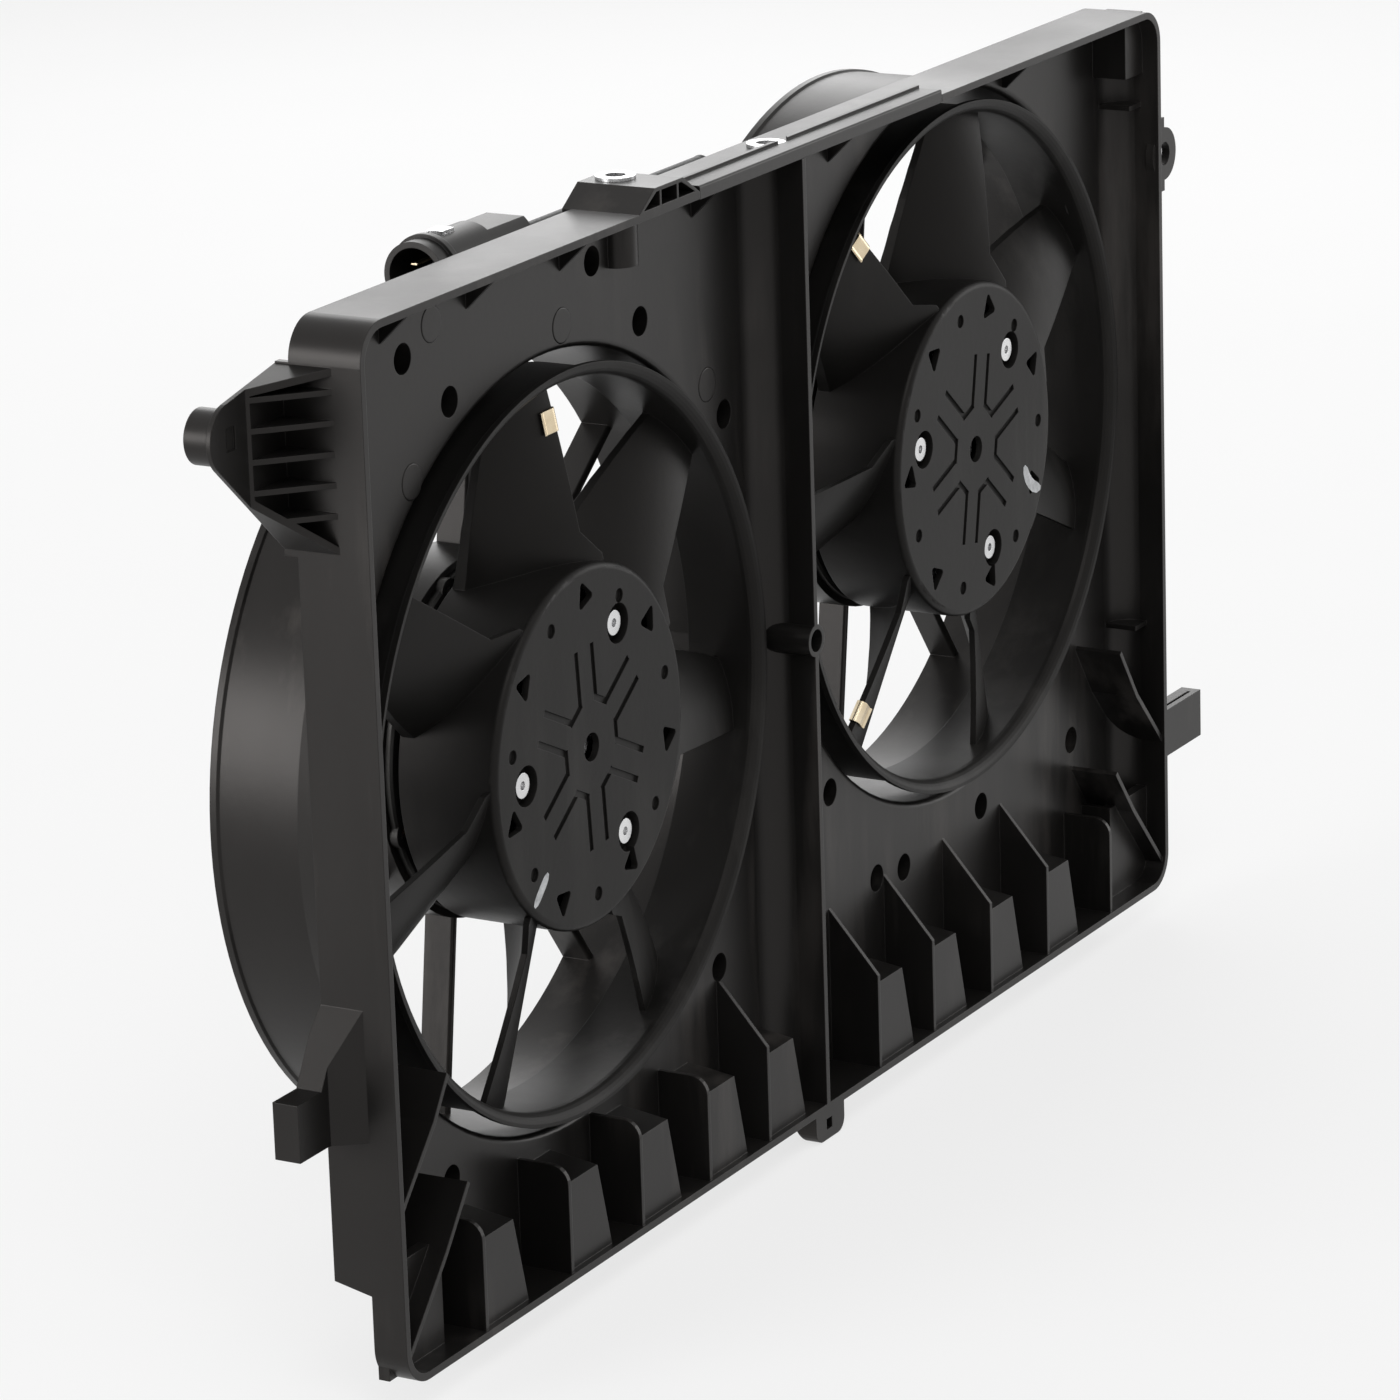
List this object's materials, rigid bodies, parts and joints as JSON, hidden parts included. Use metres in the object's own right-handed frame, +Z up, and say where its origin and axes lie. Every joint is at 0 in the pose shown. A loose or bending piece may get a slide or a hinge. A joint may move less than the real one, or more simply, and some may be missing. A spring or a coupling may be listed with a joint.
{
  "type": "radiator cooling fan assembly",
  "caption": "Wide moulded shroud tray with a pair of motor-driven cooling fans side by side, hung on the front or rear of a vehicle radiator to pull air through it.",
  "frame": {"origin": "centre of the front rim plane, at the mouth of the locating socket in the divider", "axes": "+X across the radiator, +Y with the air flow from the rim to the motors, +Z up"},
  "size_m": [0.787, 0.0955, 0.451],
  "materials": {
    "shroud_plastic": "satin, finely grained moulded plastic",
    "fan_plastic": "satin moulded plastic",
    "trim_plastic": "satin moulded plastic",
    "conduit_plastic": "ribbed plastic conduit",
    "steel_parts": "zinc plated",
    "brass_parts": "plain",
    "magnets": "matt",
    "copper_wire": "enamelled",
    "board": "lacquered",
    "motor_alloy": "die cast"
  },
  "bodies": {
    "shroud": {"shroud_tray": "shroud_plastic", "barrel_left": "shroud_plastic", "barrel_right": "shroud_plastic", "top_seal_strip": "trim_plastic", "bolt_sleeves": "steel_parts", "connector_shell": "trim_plastic", "connector_terminals": "brass_parts", "connector_lock": "steel_parts", "wiring_conduit": "conduit_plastic", "conduit_clips": "trim_plastic", "motor_base_left": "motor_alloy", "stator_core_left": "steel_parts", "stator_windings_left": "copper_wire", "bearings_left": "steel_parts", "driver_board_left": "board", "motor_cover_left": "motor_alloy", "motor_screws_left": "steel_parts", "motor_base_right": "motor_alloy", "stator_core_right": "steel_parts", "stator_windings_right": "copper_wire", "bearings_right": "steel_parts", "driver_board_right": "board", "motor_cover_right": "motor_alloy", "motor_screws_right": "steel_parts"},
    "left_rotor": {"fan_left": "fan_plastic", "rotor_bell_left": "steel_parts", "magnet_ring_left": "magnets", "shaft_left": "steel_parts", "fan_screws_left": "steel_parts", "balance_clip_left": "brass_parts"},
    "right_rotor": {"fan_right": "fan_plastic", "rotor_bell_right": "steel_parts", "magnet_ring_right": "magnets", "shaft_right": "steel_parts", "fan_screws_right": "steel_parts", "balance_clips_right": "brass_parts"}
  },
  "joints": [
    {"name": "left_fan_spin", "type": "hinge", "parent": "shroud", "child": "left_rotor", "pos_m": [-0.174, 0.03, 0], "axis": [0, 1, 0], "continuous": true},
    {"name": "right_fan_spin", "type": "hinge", "parent": "shroud", "child": "right_rotor", "pos_m": [0.174, 0.03, 0.0425], "axis": [0, 1, 0], "continuous": true}
  ]
}
